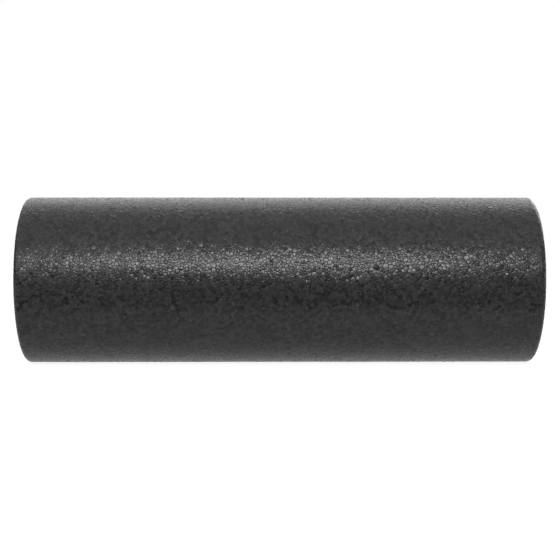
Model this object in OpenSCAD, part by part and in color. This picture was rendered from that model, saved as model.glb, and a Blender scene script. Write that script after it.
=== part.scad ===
// Firm foam massage roller: one solid log of bead foam, fused by steam in a closed mould.
// The roller lies along X with its axis on the X axis, and +Z is up.
// Its two flat ends keep the shallow round marks of the mould: the steam vents, and on the +X
// end the two ports that the beads are blown in through.

/* [Roller] */
// Overall length, end face to end face
roller_length = 457; // [300:1:920]
// Outside diameter
roller_diameter = 150; // [100:1:160]
// Radius of the moulded edge around each end face
edge_radius = 4.5; // [2:0.5:12]

/* [Vent marks] */
// Diameter of one steam vent mark
vent_diameter = 8; // [4:0.5:10]
// Depth of a vent mark
vent_depth = 0.4; // [0.2:0.1:1]
// Marks in the inner ring, of which two on the +X end are filling ports
inner_ring_count = 6; // [4, 6]
// Vent marks in the outer ring
outer_ring_count = 12; // [8:1:14]

/* [Filling marks] */
// Diameter of one filling port mark
port_diameter = 20; // [12:1:20]
// Depth of a port mark
port_depth = 0.8; // [0.4:0.1:1.5]

/* [Hidden] */

roller_radius = roller_diameter / 2;
half_length = roller_length / 2;
// Radius of the flat part of an end face, inside the moulded edge
face_radius = roller_radius - edge_radius;
inner_ring_radius = 0.46 * face_radius;
outer_ring_radius = 0.8 * face_radius;
// How far a cutter stands out of the face that it cuts
cutter_overhang = 1;
foam_colour = [0.1, 0.1, 0.105];
$fn = 96;

// Half of the lengthwise section: distance from the axis along x, length along y
module half_section() {
    corner_y = half_length - edge_radius;
    translate([0, -half_length])
        square([face_radius, roller_length]);
    translate([0, -corner_y])
        square([roller_radius, 2 * corner_y]);
    for (side = [-1, 1])
        translate([face_radius, side * corner_y])
            circle(r = edge_radius);
}

// The plain log, turned from the section about the X axis
module log() {
    rotate([0, 90, 0])
        rotate_extrude()
            half_section();
}

// Cutter for one round mark of the mould, sunk into the top face of an upright log
module mark(diameter, depth) {
    translate([0, 0, half_length - depth])
        cylinder(d = diameter, h = depth + cutter_overhang);
}

// Cutters for count vent marks evenly spaced on a ring; those whose number is in skipped stay out
module vent_ring(radius, count, start = 0, skipped = []) {
    for (i = [0 : count - 1])
        if (len(search(i, skipped)) == 0)
            rotate([0, 0, start + i * 360 / count])
                translate([radius, 0, 0])
                    mark(vent_diameter, vent_depth);
}

// Cutters for all the marks of one end, on the top face of an upright log
module end_marks(with_ports) {
    opposite = [0, inner_ring_count / 2];
    // Half a step of turn keeps the outer vents out of line with the inner marks
    vent_ring(outer_ring_radius, outer_ring_count, start = 180 / outer_ring_count);
    vent_ring(inner_ring_radius, inner_ring_count, skipped = with_ports ? opposite : []);
    if (with_ports)
        for (side = [-1, 1])
            translate([side * inner_ring_radius, 0, 0])
                mark(port_diameter, port_depth);
}

module foam_body() {
    color(foam_colour)
        difference() {
            log();
            rotate([90, 0, 90]) end_marks(with_ports = true);
            rotate([90, 0, -90]) end_marks(with_ports = false);
        }
}

foam_body();
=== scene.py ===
"""The looks of a moulded bead-foam roller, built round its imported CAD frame."""

import math

import bpy
import numpy as np
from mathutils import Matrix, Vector, noise
from mathutils.geometry import delaunay_2d_cdt


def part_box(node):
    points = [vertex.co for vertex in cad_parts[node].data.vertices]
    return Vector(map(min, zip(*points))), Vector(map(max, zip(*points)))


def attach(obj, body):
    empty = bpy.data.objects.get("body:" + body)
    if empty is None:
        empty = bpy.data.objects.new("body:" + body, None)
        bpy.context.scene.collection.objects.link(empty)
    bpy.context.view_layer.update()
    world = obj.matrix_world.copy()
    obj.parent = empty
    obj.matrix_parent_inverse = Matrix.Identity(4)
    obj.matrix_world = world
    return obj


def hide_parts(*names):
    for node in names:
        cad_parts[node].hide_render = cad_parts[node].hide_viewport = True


MM = 0.001

# The frame's own sizes, in metres. The roller lies along X, centred on the origin.
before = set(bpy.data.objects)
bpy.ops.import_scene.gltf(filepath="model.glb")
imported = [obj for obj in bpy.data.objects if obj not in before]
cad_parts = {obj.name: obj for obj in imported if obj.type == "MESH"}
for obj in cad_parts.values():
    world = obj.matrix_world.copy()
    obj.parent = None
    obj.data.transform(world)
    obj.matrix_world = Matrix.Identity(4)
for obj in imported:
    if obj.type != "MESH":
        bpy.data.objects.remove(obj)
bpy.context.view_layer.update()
low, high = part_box("foam_body")
HALF_LENGTH = high.x
RADIUS = high.z

# The moulded edge round each end face, and the core that it is rounded off from
EDGE_RADIUS = 4.5 * MM
FACE_RADIUS = RADIUS - EDGE_RADIUS
CORE_HALF = HALF_LENGTH - EDGE_RADIUS

# Round marks of the mould, sunk into the flat ends
VENT_RADIUS = 4 * MM
VENT_DEPTH = 0.4 * MM
PORT_RADIUS = 10 * MM
PORT_DEPTH = 0.8 * MM
INNER_RING = 0.46 * FACE_RADIUS
INNER_COUNT = 6
OUTER_RING = 0.8 * FACE_RADIUS
OUTER_COUNT = 12

# Where the beads sit: the distance between neighbours, and the passes that even it out
SEED = 11
BEAD_SPACING = 2.6 * MM
EVENING_PASSES = 14

# Seeds that hold the rim of a mark: their distance along it, their distance to either side of
# it, and how close to it a loose bead may start
RIM_STEP = 0.45 * BEAD_SPACING
RIM_OFFSET = 0.16 * BEAD_SPACING
RIM_CLEARANCE = 0.5 * BEAD_SPACING

# Relief of a bead. Its top slopes by the tilt, and ends in a shoulder at this share of the way
# out to the joint. A joint is between two shares of its depth, with a pit at some corners.
SHOULDER_AT = 0.82
SHOULDER_DROP = 0.12 * MM
BEAD_TILT = 0.05
JOINT_DEPTH = 0.32 * MM
JOINT_DEPTH_SPREAD = (0.6, 1.3)
PIT_DEPTH = 0.2 * MM
PIT_SHARE = 0.2

# Inside a mark the beads are pressed: what is left of their relief, and their one pale tone, a
# painted sheen
# of the smoother, glossier pressed skin
PRESSED_RELIEF = 0.3
PRESSED_SHEEN_TONE = 1.0

# Slow rise and fall of the whole skin
WAVE_HEIGHT = 0.08 * MM
WAVE_LENGTH = 28 * MM

# Camera, matched to the proportions of the outline
LENS_MM = 79.65
CAMERA_DISTANCE = 1.132
CAMERA_AZIMUTH = -0.6
CAMERA_ELEVATION = 2.0
CAMERA_SHIFT = (0.0009, -0.0005)

# Studio. The sky's light grows from its first to its second value between two heights in the
# sky, which are sines of the elevation.
FLOOR_SIZE = 60
SOFTBOX_DISTANCE = 1.6
SKY_HEIGHTS = (0.2, 0.6)
SKY_LIGHT = (0.05, 1.12)

# The black card: how far its near edge is from the roller's axis, its size, and how far it is
# above the floor
CARD_GAP = 140 * MM
CARD_WIDTH = 0.8
CARD_LENGTH = 2.0
CARD_LIFT = 0.5 * MM

WHITE = (1, 1, 1, 1)


# ---------------------------------------------------------------- the smooth moulded skin


def onto_skin(points):
    """The nearest points of the smooth rounded cylinder, and its outward normals there."""
    around = np.hypot(points[:, 1], points[:, 2])
    core_x = np.clip(points[:, 0], -CORE_HALF, CORE_HALF)
    core_r = np.minimum(around, FACE_RADIUS)
    out_x = points[:, 0] - core_x
    out_r = around - core_r
    length = np.hypot(out_x, out_r)
    # The lower limit only keeps a point on the axis from being divided by zero.
    radial = points[:, 1:] / np.maximum(around, 1e-9)[:, None]
    normals = np.column_stack([out_x, radial * out_r[:, None]]) / length[:, None]
    core = np.column_stack([core_x, radial * core_r[:, None]])
    return core + normals * EDGE_RADIUS, normals


def flattened(points):
    """The skin without its +X pole, spread over a plane with hardly any change of local shape."""
    around = np.hypot(points[:, 1], points[:, 2])
    side = np.sign(points[:, 0])
    spread = np.exp((points[:, 0] + HALF_LENGTH) / RADIUS - side * np.log(around / RADIUS))
    return points[:, 1:] * (spread / around)[:, None]


# ---------------------------------------------------------------- where the beads sit


def mould_marks():
    """Each round mark as (end, y, z, radius, depth), where end is the sign of x."""
    marks = []
    for end in (-1, 1):
        for i in range(INNER_COUNT):
            angle = 2 * math.pi * i / INNER_COUNT
            is_port = end > 0 and i % (INNER_COUNT // 2) == 0
            size = (PORT_RADIUS, PORT_DEPTH) if is_port else (VENT_RADIUS, VENT_DEPTH)
            marks.append((end, INNER_RING * math.cos(angle), INNER_RING * math.sin(angle), *size))
        for i in range(OUTER_COUNT):
            angle = 2 * math.pi * (i + 0.5) / OUTER_COUNT
            y, z = OUTER_RING * math.cos(angle), OUTER_RING * math.sin(angle)
            marks.append((end, y, z, VENT_RADIUS, VENT_DEPTH))
    return marks


def from_rim(points, mark):
    """How far outside the mark's rim each point lies, infinite for points off its end face."""
    end, y, z, radius, _ = mark
    away = np.hypot(points[:, 1] - y, points[:, 2] - z) - radius
    return np.where(points[:, 0] * end > CORE_HALF, away, np.inf)


def mark_numbers(points, marks):
    """The number of the mark that each point lies in, or -1."""
    numbers = np.full(len(points), -1)
    for i, mark in enumerate(marks):
        numbers[from_rim(points, mark) < 0] = i
    return numbers


def scattered(rng, count):
    """Points scattered evenly over a plain cylinder of the roller's size."""
    side_area = 4 * math.pi * RADIUS * HALF_LENGTH
    end_area = math.pi * RADIUS**2
    on_side = round(count * side_area / (side_area + 2 * end_area))
    on_ends = count - on_side
    angle = rng.uniform(0, 2 * math.pi, count)
    side_x = rng.uniform(-HALF_LENGTH, HALF_LENGTH, on_side)
    end_x = HALF_LENGTH * rng.choice([-1.0, 1.0], on_ends)
    end_r = RADIUS * np.sqrt(rng.uniform(0, 1, on_ends))
    x = np.concatenate([side_x, end_x])
    around = np.concatenate([np.full(on_side, RADIUS), end_r])
    return np.column_stack([x, around * np.cos(angle), around * np.sin(angle)])


def rim_seeds(mark):
    """Two rings of seeds, just inside and just outside a mark's rim, that hold the rim round."""
    end, y, z, radius, _ = mark
    count = round(2 * math.pi * radius / RIM_STEP)
    angle = 2 * math.pi * np.arange(count) / count
    x = np.full(count, end * HALF_LENGTH)
    rings = []
    for r in (radius - RIM_OFFSET, radius + RIM_OFFSET):
        rings.append(np.column_stack([x, y + r * np.cos(angle), z + r * np.sin(angle)]))
    return np.concatenate(rings)


def triangulated(seeds):
    """Delaunay triangles over the closed skin, facing out. The last seed is the +X pole."""
    pole = len(seeds) - 1
    flat = [Vector(p) for p in flattened(seeds[:pole]).tolist()]
    faces = delaunay_2d_cdt(flat, [], [], 0, 0.0)[2]
    triangles = np.array(faces)[:, ::-1]
    start, end = triangles, np.roll(triangles, -1, axis=1)
    forward = (start * len(seeds) + end).ravel()
    backward = (end * len(seeds) + start).ravel()
    open_edges = ~np.isin(backward, forward)
    a, b = start.ravel()[open_edges], end.ravel()[open_edges]
    cap = np.column_stack([b, a, np.full(len(a), pole)])
    return np.concatenate([triangles, cap])


def evened(seeds, free):
    """Moves each free seed to the middle of its neighbours, a few times over."""
    for _ in range(EVENING_PASSES):
        triangles = triangulated(seeds)
        start, end = triangles.ravel(), np.roll(triangles, -1, axis=1).ravel()
        total = np.column_stack(
            [np.bincount(start, weights=seeds[end, axis], minlength=len(seeds)) for axis in range(3)]
        )
        middle = total / np.bincount(start, minlength=len(seeds))[:, None]
        seeds = np.where(free[:, None], onto_skin(middle)[0], seeds)
    return seeds


def bead_seeds(rng, marks):
    """The middles of the beads, close-packed over the skin and lined up round each mark."""
    area = 4 * math.pi * RADIUS * HALF_LENGTH + 2 * math.pi * RADIUS**2
    count = round(area / (math.sqrt(3) / 2 * BEAD_SPACING**2))
    loose = onto_skin(scattered(rng, count))[0]
    for mark in marks:
        loose = loose[np.abs(from_rim(loose, mark)) > RIM_CLEARANCE]
    held = [rim_seeds(mark) for mark in marks]
    pole = np.array([[HALF_LENGTH, 0.0, 0.0]])
    seeds = np.concatenate([loose, *held, pole])
    free = np.arange(len(seeds)) < len(loose)
    return evened(seeds, free)


# ---------------------------------------------------------------- the bead-foam mesh
#
# A bead is a centre, a ring of shoulders, and a ring of corners that it shares with its
# neighbours. There is a corner for each triangle of bead centres. Shoulder 3 t + k stands
# between corner t and bead k of triangle t. The vertices are the centres, then the corners,
# then the shoulders.


def snapped_to_rims(corners, seed_marks, marks):
    """Puts each corner between a mark's inside and outside exactly on that mark's rim."""
    lowest, highest = seed_marks.min(axis=1), seed_marks.max(axis=1)
    for i in np.flatnonzero(lowest != highest):
        _, y, z, radius, _ = marks[highest[i]]
        away = corners[i, 1:] - (y, z)
        corners[i, 1:] = (y, z) + away * (radius / np.hypot(*away))
    return corners


def bead_relief(seed_marks):
    """How much of its relief each bead has: all of it, or less where a mark has pressed it."""
    return np.where(seed_marks < 0, 1.0, PRESSED_RELIEF)


def waves(points):
    """Slow rise and fall of the skin, from uneven cooling, most of it below the smooth skin."""
    values = [noise.noise(Vector(p)) for p in (points / WAVE_LENGTH).tolist()]
    return WAVE_HEIGHT * (np.array(values) - 0.5)


def bead_points(rng, seeds, triangles, marks, seed_marks):
    """The vertices: domed bead tops, each a little aslant, with sunk joints between them."""
    bead_of = triangles.ravel()
    corners = onto_skin(seeds[triangles].mean(axis=1))[0]
    corners = snapped_to_rims(corners, seed_marks[triangles], marks)
    shoulders = seeds[bead_of] * (1 - SHOULDER_AT) + corners.repeat(3, axis=0) * SHOULDER_AT

    # Seeds outside every mark have the number -1, which takes the last depth.
    depths = np.array([depth for *_, depth in marks] + [0.0])
    level = waves(seeds) - depths[seed_marks]
    relief = bead_relief(seed_marks)
    tilt = rng.normal(0, BEAD_TILT, seeds.shape) * relief[:, None]
    lean = np.einsum("ij,ij->i", tilt[bead_of], shoulders - seeds[bead_of])
    shoulder_level = (level - SHOULDER_DROP * relief)[bead_of] + lean
    pits = np.where(rng.random(len(triangles)) < PIT_SHARE, PIT_DEPTH, 0)
    joint_depth = JOINT_DEPTH * rng.uniform(*JOINT_DEPTH_SPREAD, len(triangles)) + pits
    corner_level = level[triangles].min(axis=1) - joint_depth * relief[triangles].max(axis=1)

    points, normals = onto_skin(np.concatenate([seeds, corners, shoulders]))
    levels = np.concatenate([level, corner_level, shoulder_level])
    return points + normals * levels[:, None]


def twin_edges(triangles, seed_count):
    """Edge k of triangle t has number 3 t + k. Gives the number of each edge's other side."""
    start, end = triangles.ravel(), np.roll(triangles, -1, axis=1).ravel()
    forward = start * seed_count + end
    order = np.argsort(forward)
    return order[np.searchsorted(forward[order], end * seed_count + start)]


def bead_faces(triangles, bead_count):
    """The triangles of the bead tops, and the four-sided walls down to the joints."""
    # Edge 3 t + k runs from a bead to a neighbour, with corner t on its left.
    corner_count = len(triangles)
    twins = twin_edges(triangles, bead_count)
    left_corner = bead_count + np.arange(corner_count).repeat(3)
    right_corner = bead_count + twins // 3
    first_shoulder = bead_count + corner_count
    left = first_shoulder + np.arange(3 * corner_count)
    right = first_shoulder + 3 * (twins // 3) + (twins % 3 + 1) % 3
    tops = np.column_stack([triangles.ravel(), right, left])
    walls = np.column_stack([right, right_corner, left_corner, left])
    return tops, walls


def bead_values(rng, triangles, seed_marks):
    """For each vertex, the tone of its bead and how far down in a joint it is."""
    bead_count = len(seed_marks)
    # Beads inside a mark take the palest tone, a painted sheen of the pressed skin.
    tone = np.where(seed_marks < 0, rng.random(bead_count), PRESSED_SHEEN_TONE)
    corner_joint = bead_relief(seed_marks)[triangles].max(axis=1)
    return {
        "bead_tone": np.concatenate([tone, tone[triangles].mean(axis=1), tone[triangles.ravel()]]),
        "joint": np.concatenate([np.zeros(bead_count), corner_joint, np.zeros(triangles.size)]),
    }


def mesh_of(name, points, triangles, quads):
    """A smooth-shaded mesh of triangles and four-sided faces."""
    sides = np.concatenate([np.full(len(triangles), 3), np.full(len(quads), 4)])
    mesh = bpy.data.meshes.new(name)
    mesh.vertices.add(len(points))
    mesh.vertices.foreach_set("co", points.astype(np.float32).ravel())
    mesh.loops.add(sides.sum())
    mesh.loops.foreach_set("vertex_index", np.concatenate([triangles.ravel(), quads.ravel()]))
    mesh.polygons.add(len(sides))
    mesh.polygons.foreach_set("loop_start", np.concatenate([[0], np.cumsum(sides)[:-1]]))
    mesh.polygons.foreach_set("loop_total", sides)
    mesh.polygons.foreach_set("use_smooth", np.ones(len(sides), bool))
    mesh.update(calc_edges=True)
    return mesh


def sharpen_shoulders(mesh, first_shoulder):
    """Marks as sharp the edges between a bead's top and its walls."""
    ends = np.empty(2 * len(mesh.edges), np.int32)
    mesh.edges.foreach_get("vertices", ends)
    round_top = (ends.reshape(-1, 2) >= first_shoulder).all(axis=1)
    mesh.attributes.new("sharp_edge", "BOOLEAN", "EDGE").data.foreach_set("value", round_top)


def bead_foam_body():
    """The roller as one closed skin of fused beads."""
    rng = np.random.default_rng(SEED)
    marks = mould_marks()
    seeds = bead_seeds(rng, marks)
    triangles = triangulated(seeds)
    seed_marks = mark_numbers(seeds, marks)
    points = bead_points(rng, seeds, triangles, marks, seed_marks)
    mesh = mesh_of("bead_foam_body", points, *bead_faces(triangles, len(seeds)))
    for name, numbers in bead_values(rng, triangles, seed_marks).items():
        attribute = mesh.attributes.new(name, "FLOAT", "POINT")
        attribute.data.foreach_set("value", numbers.astype(np.float32))
    sharpen_shoulders(mesh, len(seeds) + len(triangles))
    mesh.materials.append(bead_foam_material())
    body = bpy.data.objects.new("bead_foam_body", mesh)
    bpy.context.scene.collection.objects.link(body)
    return body


# ---------------------------------------------------------------- materials


class Nodes:
    """A node tree, with short calls that add and link nodes."""

    def __init__(self, tree):
        self.tree = tree

    def add(self, kind, inputs=None, **settings):
        """A new node. An input given as a socket is linked, and any other value is set."""
        node = self.tree.nodes.new(kind)
        for key, value in settings.items():
            setattr(node, key, value)
        for key, value in (inputs or {}).items():
            self.feed(node.inputs[key], value)
        return node

    def feed(self, socket, value):
        """Links value to the socket if it is itself a socket, and otherwise sets it there."""
        if isinstance(value, bpy.types.NodeSocket):
            self.tree.links.new(value, socket)
        else:
            socket.default_value = value

    def remap(self, value, from_range, to_range):
        """value, taken from one range to another and held inside it."""
        inputs = {"Value": value}
        inputs.update(zip(("From Min", "From Max"), from_range))
        inputs.update(zip(("To Min", "To Max"), to_range))
        return self.add("ShaderNodeMapRange", inputs).outputs["Result"]

    def math(self, operation, a, b):
        """The result of a sum, a product or the like."""
        return self.add("ShaderNodeMath", {0: a, 1: b}, operation=operation).outputs[0]


def shaded(name):
    """A new material, its nodes and the inputs of its shader."""
    material = bpy.data.materials.new(name)
    material.use_nodes = True
    shader = material.node_tree.nodes["Principled BSDF"]
    return material, Nodes(material.node_tree), shader.inputs


def bead_foam_material():
    """Black bead foam: satin bead skins of slightly different tone, dull joints darkened with
    painted shade.
    """
    material, nodes, skin = shaded("black_bead_foam")
    place = nodes.add("ShaderNodeTexCoord").outputs["Object"]
    tone = nodes.add("ShaderNodeAttribute", attribute_name="bead_tone").outputs["Fac"]
    joint = nodes.add("ShaderNodeAttribute", attribute_name="joint").outputs["Fac"]
    # A noise scale is in waves per metre: wrinkles of under 1 mm, and scuffs of about 2 cm.
    wrinkle = nodes.add("ShaderNodeTexNoise", {"Vector": place, "Scale": 1400.0, "Detail": 2.0})
    scuff = nodes.add("ShaderNodeTexNoise", {"Vector": place, "Scale": 45.0, "Detail": 4.0})

    bead_grey = nodes.remap(tone, (0, 1), (0.008, 0.0245))
    # Painted shade: the colour darkens down into the joints between beads, where light is trapped.
    painted_joint_shade = nodes.remap(joint, (0, 0.6), (1.0, 0.3))
    grey = nodes.math("MULTIPLY", bead_grey, painted_joint_shade)
    colour = nodes.add("ShaderNodeCombineColor", {"Red": grey, "Green": grey, "Blue": grey})
    nodes.feed(skin["Base Color"], colour.outputs["Color"])

    bead_rough = nodes.remap(tone, (0, 1), (0.2, 0.26))
    scuffed = nodes.remap(scuff.outputs["Fac"], (0.35, 0.65), (-0.01, 0.02))
    dull_joint = nodes.remap(joint, (0, 1), (0, 0.2))
    roughness = nodes.math("ADD", nodes.math("ADD", bead_rough, scuffed), dull_joint)
    nodes.feed(skin["Roughness"], roughness)

    wrinkles = {"Height": wrinkle.outputs["Fac"], "Strength": 1.0, "Distance": 0.12 * MM}
    nodes.feed(skin["Normal"], nodes.add("ShaderNodeBump", wrinkles).outputs["Normal"])
    # The refractive index of polypropylene, with its gloss held back by the skin's fine texture
    skin["IOR"].default_value = 1.49
    skin["Specular IOR Level"].default_value = 0.24
    return material


def matt_material(name, grey, glow=0.0):
    """A plain matt grey for the studio, which may give off some white light of its own."""
    material, _, surface = shaded(name)
    surface["Base Color"].default_value = (grey, grey, grey, 1)
    surface["Roughness"].default_value = 1.0
    surface["Specular IOR Level"].default_value = 0.0
    surface["Emission Color"].default_value = WHITE
    surface["Emission Strength"].default_value = glow
    return material


# ---------------------------------------------------------------- studio


def floor():
    """The pale floor that the roller lies on. Its own glow keeps shadows on it faint."""
    bpy.ops.mesh.primitive_plane_add(size=FLOOR_SIZE, location=(0, 0, low.z))
    plane = bpy.context.object
    plane.name = "floor"
    plane.data.materials.append(matt_material("pale_floor", grey=0.15, glow=0.9))


def black_card():
    """A black card in front of the roller, seen only in its gloss, that parts lamp from floor."""
    middle_y = -CARD_GAP - CARD_LENGTH / 2
    bpy.ops.mesh.primitive_plane_add(size=1, location=(0, middle_y, low.z + CARD_LIFT))
    card = bpy.context.object
    card.name = "black_card"
    card.scale = (CARD_WIDTH, CARD_LENGTH, 1)
    card.visible_camera = False
    card.visible_diffuse = False
    card.visible_shadow = False
    card.data.materials.append(matt_material("black_velvet", grey=0.02))


def from_centre(azimuth, elevation, distance):
    """A point at that distance from the origin. Azimuth 0 is in front, at -Y."""
    a, e = math.radians(azimuth), math.radians(elevation)
    return distance * Vector((math.sin(a) * math.cos(e), -math.cos(a) * math.cos(e), math.sin(e)))


def aimed_at_centre(thing, place):
    """Puts a lamp or camera in the scene at that place, facing the middle of the roller."""
    thing.location = place
    thing.rotation_mode = "QUATERNION"
    thing.rotation_quaternion = (-place).to_track_quat("-Z", "Y")
    bpy.context.scene.collection.objects.link(thing)


def softbox(name, azimuth, elevation, width, height, watts, on_gloss_only=False):
    """A lamp with a rectangular front, which the camera doesn't see."""
    light = bpy.data.lights.new(name, "AREA")
    light.shape = "RECTANGLE"
    light.size, light.size_y = width, height
    light.energy = watts
    lamp = bpy.data.objects.new(name, light)
    lamp.visible_camera = False
    lamp.visible_diffuse = not on_gloss_only
    aimed_at_centre(lamp, from_centre(azimuth, elevation, SOFTBOX_DISTANCE))


def white_studio():
    """White all round to the eye, but brightest from above and dim at the level of the roller."""
    world = bpy.data.worlds.new("studio")
    bpy.context.scene.world = world
    world.use_nodes = True
    world.node_tree.nodes.clear()
    nodes = Nodes(world.node_tree)
    direction = nodes.add("ShaderNodeTexCoord").outputs["Generated"]
    height = nodes.add("ShaderNodeSeparateXYZ", {"Vector": direction}).outputs["Z"]
    strength = nodes.remap(height, SKY_HEIGHTS, SKY_LIGHT)
    lit = nodes.add("ShaderNodeBackground", {"Color": WHITE, "Strength": strength}).outputs[0]
    seen = nodes.add("ShaderNodeBackground", {"Color": WHITE, "Strength": 1.0}).outputs[0]
    to_camera = nodes.add("ShaderNodeLightPath").outputs["Is Camera Ray"]
    mix = nodes.add("ShaderNodeMixShader", {0: to_camera, 1: lit, 2: seen})
    nodes.add("ShaderNodeOutputWorld", {"Surface": mix.outputs[0]})


def camera():
    """The camera, a little left of straight in front and a little above the roller's axis."""
    lens = bpy.data.cameras.new("camera")
    lens.lens = LENS_MM
    lens.shift_x, lens.shift_y = CAMERA_SHIFT
    eye = bpy.data.objects.new("camera", lens)
    aimed_at_centre(eye, from_centre(CAMERA_AZIMUTH, CAMERA_ELEVATION, CAMERA_DISTANCE))
    bpy.context.scene.camera = eye


camera()
floor()
black_card()
white_studio()
# Azimuth, elevation, width, height and watts of each softbox
softbox("front_strip", 0, 25.6, 0.75, 0.22, 21.7)
softbox("rear_softbox", 180, 35, 2.0, 1.75, 13.5)
softbox("left_softbox", -45, 20, 0.9, 0.5, 7, on_gloss_only=True)
softbox("right_softbox", 90, 2.5, 0.9, 0.24, 3.8, on_gloss_only=True)
softbox("rear_right_softbox", 130, 28, 1.1, 0.7, 7, on_gloss_only=True)
bpy.context.scene.view_settings.view_transform = "Standard"

body = bead_foam_body()
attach(body, "root")
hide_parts("foam_body")
